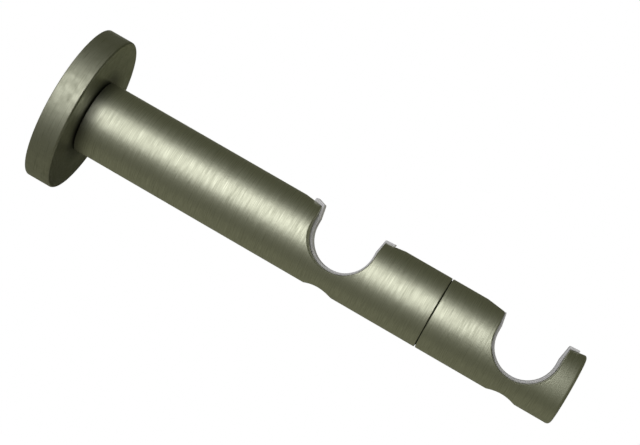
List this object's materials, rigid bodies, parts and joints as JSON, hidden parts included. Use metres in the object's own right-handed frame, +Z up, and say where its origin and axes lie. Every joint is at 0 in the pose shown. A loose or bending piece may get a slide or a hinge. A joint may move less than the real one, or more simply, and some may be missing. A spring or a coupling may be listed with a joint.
{
  "type": "curtain pole bracket",
  "caption": "Curtain pole bracket with a round wall rosette and a straight round bar whose lined saddles carry a rear and a front pole.",
  "frame": {"origin": "centre of the wall plate's back face, on the wall and on the bar's axis", "axes": "+X out of the wall along the bar, Y along the poles, +Z up"},
  "size_m": [0.1854, 0.054, 0.054],
  "materials": {
    "satin_steel": "fine brushed, warm satin nickel tone",
    "zinc_plated_steel": "zinc plated",
    "screw_steel": "black oxide",
    "liner_plastic": "smooth grey, slightly translucent"
  },
  "bodies": {
    "root": {"rosette": "satin_steel", "wall_plate": "zinc_plated_steel", "rear_arm": "satin_steel", "front_arm": "satin_steel", "rear_liner": "liner_plastic", "front_liner": "liner_plastic", "rear_lock_screw": "screw_steel", "front_lock_screw": "screw_steel", "joining_stud": "screw_steel", "rosette_grub_screw": "screw_steel", "arm_screw": "zinc_plated_steel"}
  },
  "joints": []
}
